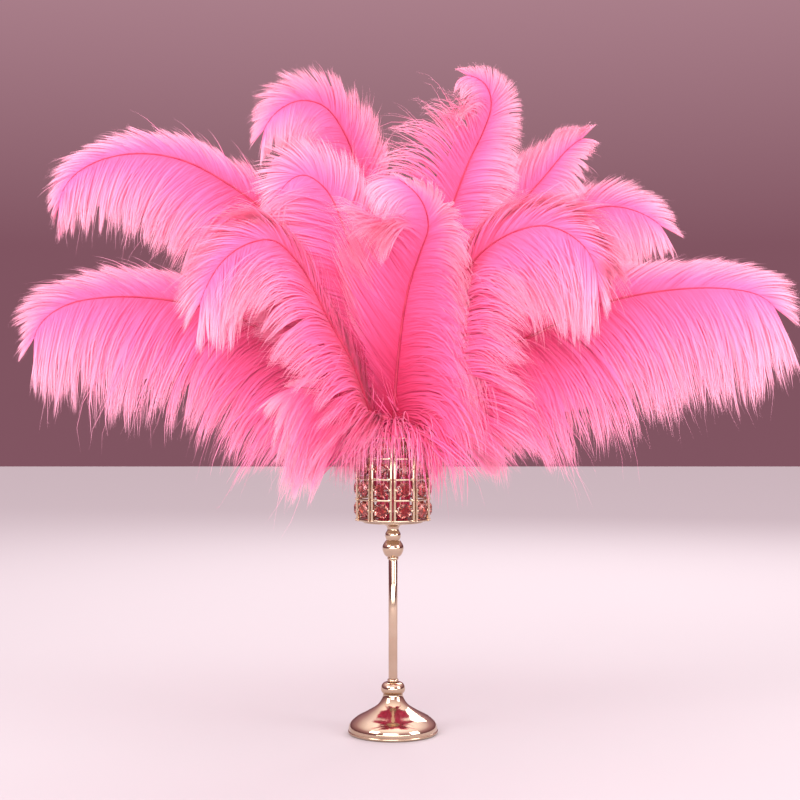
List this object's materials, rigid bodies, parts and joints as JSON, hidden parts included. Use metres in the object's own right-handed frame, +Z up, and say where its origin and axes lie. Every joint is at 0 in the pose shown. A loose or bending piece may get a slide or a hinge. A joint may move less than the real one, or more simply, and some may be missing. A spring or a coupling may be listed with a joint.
{
  "type": "ostrich plume centrepiece",
  "caption": "Bunch of pink dyed ostrich plumes standing in a tall gold table stand whose cup is a ring of beaded ladder panels.",
  "frame": {"origin": "centre of the foot's flat underside", "axes": "+Z up along the stand, +X to the right across the widest spread of the plumes, +Y to the back"},
  "size_m": [0.7683, 0.3988, 0.6659],
  "materials": {
    "gold": "polished gold plate",
    "plume": "soft dyed down"
  },
  "bodies": {
    "root": {"foot": "gold", "foot_collar": "gold", "foot_ring": "gold", "stem": "gold", "stem_ring": "gold", "knob": "gold", "cup_seat": "gold", "cup_floor": "gold", "panel_01": "gold", "panel_02": "gold", "panel_03": "gold", "panel_04": "gold", "panel_05": "gold", "panel_06": "gold", "panel_07": "gold", "panel_08": "gold", "panel_09": "gold", "panel_10": "gold", "plume_left_upper": "plume", "plume_left_lower": "plume", "plume_left_front": "plume", "plume_left_low": "plume", "plume_left_top": "plume", "plume_left_mid": "plume", "plume_left_back": "plume", "plume_front": "plume", "plume_top": "plume", "plume_right_top": "plume", "plume_right_back": "plume", "plume_right_front": "plume", "plume_right_lower": "plume", "plume_right_low": "plume", "plume_back": "plume", "plume_back_left": "plume", "plume_back_right": "plume", "plume_back_low": "plume"}
  },
  "joints": []
}
